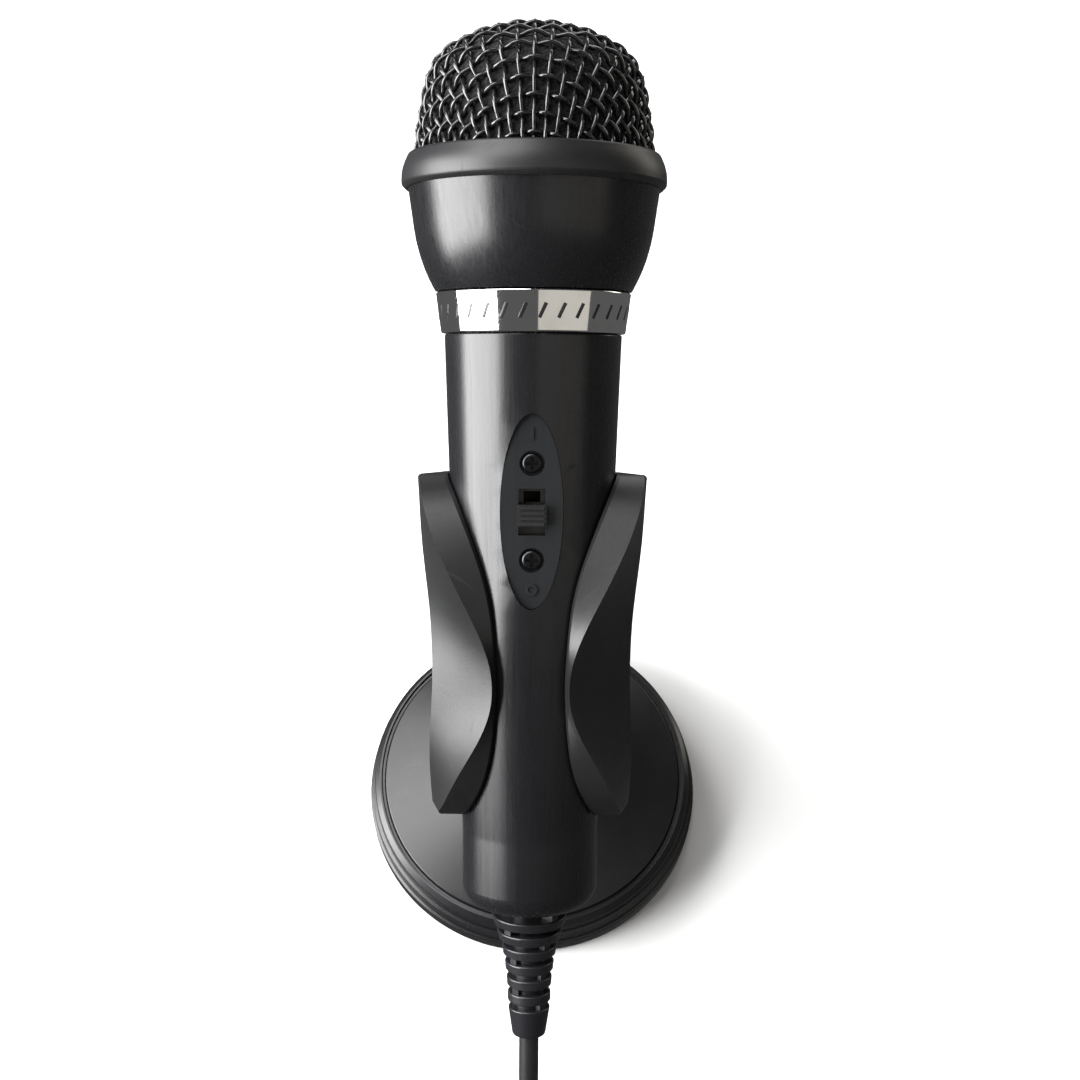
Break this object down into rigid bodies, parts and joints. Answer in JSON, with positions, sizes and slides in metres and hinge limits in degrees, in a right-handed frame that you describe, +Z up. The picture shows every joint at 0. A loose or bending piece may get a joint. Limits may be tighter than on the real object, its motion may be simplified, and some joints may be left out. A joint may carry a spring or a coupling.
{
  "type": "karaoke microphone with desk stand",
  "caption": "Corded karaoke microphone with a woven ball grille and slide switch, held in a two-wing clip that tilts on a round weighted desk stand.",
  "frame": {"origin": "centre of the stand's flat underside, on the desk", "axes": "+Z up; the microphone's head points along +Y and up, its cord leaves towards -Y; the clip's hinge runs along X"},
  "size_m": [0.093, 0.2855, 0.1712],
  "materials": {
    "handle_plastic": "satin black moulded ABS, polished lengthwise",
    "ring_plastic": "matte charcoal moulded plastic",
    "chrome_plate": "bright chrome plating",
    "grille_wire": "black enamelled woven steel wire",
    "head_foam": "open-cell black foam",
    "inner_plastic": "plain black moulded plastic",
    "soft_rubber": "soft black rubber",
    "capsule_can": "drawn aluminium can",
    "wire_jacket": "thin coloured PVC insulation",
    "plate_plastic": "fine satin black plastic",
    "black_steel": "black oxide steel",
    "switch_steel": "tinned steel sheet",
    "switch_board": "brown phenolic board",
    "terminal_brass": "tinned brass tags",
    "boot_rubber": "satin black flexible PVC",
    "knob_plastic": "black moulded plastic",
    "clip_plastic": "matte black moulded plastic",
    "neck_plastic": "matte black moulded plastic",
    "base_plastic": "semi-gloss black moulded plastic",
    "weight_steel": "blanked steel disc",
    "zinc_steel": "zinc plated steel",
    "foot_foam": "black EVA foam",
    "cord_jacket": "smooth black PVC jacket",
    "tie_strap": "black hook-and-loop strap",
    "plug_rubber": "moulded black PVC",
    "plug_metal": "nickel plated brass",
    "insulator_plastic": "black insulating rings"
  },
  "bodies": {
    "stand": {"foot_pad": "foot_foam", "cover_plate": "base_plastic", "cover_screws": "zinc_steel", "base_weight": "weight_steel", "base_shell": "base_plastic", "neck_screw": "zinc_steel", "neck_post": "neck_plastic", "hinge_bolt": "black_steel", "hinge_washers": "zinc_steel", "hinge_nut": "black_steel", "cord_run": "cord_jacket", "cord_coil": "cord_jacket", "cord_end": "cord_jacket", "cord_tie": "tie_strap", "plug_grip": "plug_rubber", "plug_pin": "plug_metal", "plug_insulators": "insulator_plastic"},
    "clip": {"clip_cradle": "clip_plastic"},
    "microphone": {"grille_mesh": "grille_wire", "grille_foam": "head_foam", "clamp_ring": "ring_plastic", "head_bowl": "handle_plastic", "chrome_band": "chrome_plate", "head_collar": "inner_plastic", "capsule_carrier": "inner_plastic", "capsule_grommet": "soft_rubber", "capsule": "capsule_can", "capsule_wires": "wire_jacket", "handle_shell": "handle_plastic", "switch_plate": "plate_plastic", "plate_screws": "black_steel", "switch_frame": "switch_steel", "switch_base": "switch_board", "switch_terminals": "terminal_brass", "cord_wires": "wire_jacket", "cord_anchor": "inner_plastic", "strain_relief_boot": "boot_rubber", "cord_lead": "cord_jacket"},
    "switch_knob": {"switch_knob": "knob_plastic"}
  },
  "joints": [
    {"name": "clip_tilt", "type": "hinge", "parent": "stand", "child": "clip", "pos_m": [0, 0, 0.063], "axis": [1, 0, 0], "range_deg": [-35, 30], "deforming": ["cord_run"]},
    {"name": "mic_slide", "type": "slide", "parent": "clip", "child": "microphone", "axis": [0, 0.8161, 0.5779], "range_m": [0, 0.11]},
    {"name": "switch_slide", "type": "slide", "parent": "microphone", "child": "switch_knob", "axis": [0, 0.7937, 0.6083], "range_m": [0, 0.002]}
  ]
}
